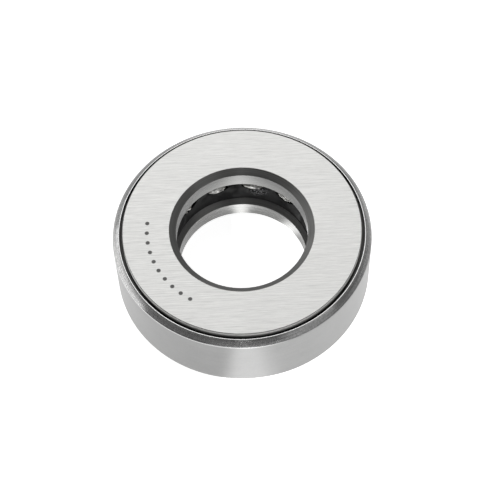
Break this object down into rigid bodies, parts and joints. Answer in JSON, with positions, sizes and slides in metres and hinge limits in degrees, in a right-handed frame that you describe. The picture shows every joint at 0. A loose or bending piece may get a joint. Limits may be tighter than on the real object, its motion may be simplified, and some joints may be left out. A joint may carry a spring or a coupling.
{
  "type": "thrust ball bearing",
  "caption": "Single-direction thrust ball bearing: flat washers with balls in a moulded cage between them, held together by a rolled steel band.",
  "frame": {"origin": "on the bore axis, level with the lower washer's bottom face", "axes": "+Z along the bore axis from the lower washer to the upper washer; +X and +Y lie in the bottom face, and no feature but the balls' places tells them apart"},
  "size_m": [0.0504, 0.0504, 0.0159],
  "materials": {
    "ground_steel": "surface ground, satin",
    "turned_steel": "fine turned",
    "band_steel": "drawn sheet, satin",
    "cage_plastic": "moulded black, greased",
    "ball_steel": "lapped and polished"
  },
  "bodies": {
    "lower_race": {"lower_washer": "turned_steel", "outer_shell": "band_steel"},
    "upper_race": {"upper_washer": "ground_steel"},
    "cage": {"ball_cage": "cage_plastic"},
    "rolling_ball_01": {"ball_01": "ball_steel"},
    "rolling_ball_02": {"ball_02": "ball_steel"},
    "rolling_ball_03": {"ball_03": "ball_steel"},
    "rolling_ball_04": {"ball_04": "ball_steel"},
    "rolling_ball_05": {"ball_05": "ball_steel"},
    "rolling_ball_06": {"ball_06": "ball_steel"},
    "rolling_ball_07": {"ball_07": "ball_steel"},
    "rolling_ball_08": {"ball_08": "ball_steel"},
    "rolling_ball_09": {"ball_09": "ball_steel"},
    "rolling_ball_10": {"ball_10": "ball_steel"},
    "rolling_ball_11": {"ball_11": "ball_steel"},
    "rolling_ball_12": {"ball_12": "ball_steel"}
  },
  "joints": [
    {"name": "upper_race_spin", "type": "hinge", "parent": "lower_race", "child": "upper_race", "pos_m": [0, 0, 0.0135], "axis": [0, 0, 1], "continuous": true},
    {"name": "cage_spin", "type": "hinge", "parent": "lower_race", "child": "cage", "pos_m": [0, 0, 0.00819], "axis": [0, 0, 1], "continuous": true},
    {"name": "ball_01_roll", "type": "hinge", "parent": "cage", "child": "rolling_ball_01", "pos_m": [0.01773, 0.0061, 0.00819], "axis": [0.9455, 0.3256, 0], "continuous": true},
    {"name": "ball_02_roll", "type": "hinge", "parent": "cage", "child": "rolling_ball_02", "pos_m": [0.0123, 0.01415, 0.00819], "axis": [0.6561, 0.7547, 0], "continuous": true},
    {"name": "ball_03_roll", "type": "hinge", "parent": "cage", "child": "rolling_ball_03", "pos_m": [0.00358, 0.01841, 0.00819], "axis": [0.1908, 0.9816, 0], "continuous": true},
    {"name": "ball_04_roll", "type": "hinge", "parent": "cage", "child": "rolling_ball_04", "pos_m": [-0.0061, 0.01773, 0.00819], "axis": [-0.3256, 0.9455, 0], "continuous": true},
    {"name": "ball_05_roll", "type": "hinge", "parent": "cage", "child": "rolling_ball_05", "pos_m": [-0.01415, 0.0123, 0.00819], "axis": [-0.7547, 0.6561, 0], "continuous": true},
    {"name": "ball_06_roll", "type": "hinge", "parent": "cage", "child": "rolling_ball_06", "pos_m": [-0.01841, 0.00358, 0.00819], "axis": [-0.9816, 0.1908, 0], "continuous": true},
    {"name": "ball_07_roll", "type": "hinge", "parent": "cage", "child": "rolling_ball_07", "pos_m": [-0.01773, -0.0061, 0.00819], "axis": [-0.9455, -0.3256, 0], "continuous": true},
    {"name": "ball_08_roll", "type": "hinge", "parent": "cage", "child": "rolling_ball_08", "pos_m": [-0.0123, -0.01415, 0.00819], "axis": [-0.6561, -0.7547, 0], "continuous": true},
    {"name": "ball_09_roll", "type": "hinge", "parent": "cage", "child": "rolling_ball_09", "pos_m": [-0.00358, -0.01841, 0.00819], "axis": [-0.1908, -0.9816, 0], "continuous": true},
    {"name": "ball_10_roll", "type": "hinge", "parent": "cage", "child": "rolling_ball_10", "pos_m": [0.0061, -0.01773, 0.00819], "axis": [0.3256, -0.9455, 0], "continuous": true},
    {"name": "ball_11_roll", "type": "hinge", "parent": "cage", "child": "rolling_ball_11", "pos_m": [0.01415, -0.0123, 0.00819], "axis": [0.7547, -0.6561, 0], "continuous": true},
    {"name": "ball_12_roll", "type": "hinge", "parent": "cage", "child": "rolling_ball_12", "pos_m": [0.01841, -0.00358, 0.00819], "axis": [0.9816, -0.1908, 0], "continuous": true}
  ],
  "couplings": [
    {"joint": "cage_spin", "follows": "upper_race_spin", "ratio": 0.5},
    {"joint": "ball_01_roll", "follows": "upper_race_spin", "ratio": -2.3621},
    {"joint": "ball_02_roll", "follows": "upper_race_spin", "ratio": -2.3621},
    {"joint": "ball_03_roll", "follows": "upper_race_spin", "ratio": -2.3621},
    {"joint": "ball_04_roll", "follows": "upper_race_spin", "ratio": -2.3621},
    {"joint": "ball_05_roll", "follows": "upper_race_spin", "ratio": -2.3621},
    {"joint": "ball_06_roll", "follows": "upper_race_spin", "ratio": -2.3621},
    {"joint": "ball_07_roll", "follows": "upper_race_spin", "ratio": -2.3621},
    {"joint": "ball_08_roll", "follows": "upper_race_spin", "ratio": -2.3621},
    {"joint": "ball_09_roll", "follows": "upper_race_spin", "ratio": -2.3621},
    {"joint": "ball_10_roll", "follows": "upper_race_spin", "ratio": -2.3621},
    {"joint": "ball_11_roll", "follows": "upper_race_spin", "ratio": -2.3621},
    {"joint": "ball_12_roll", "follows": "upper_race_spin", "ratio": -2.3621}
  ]
}
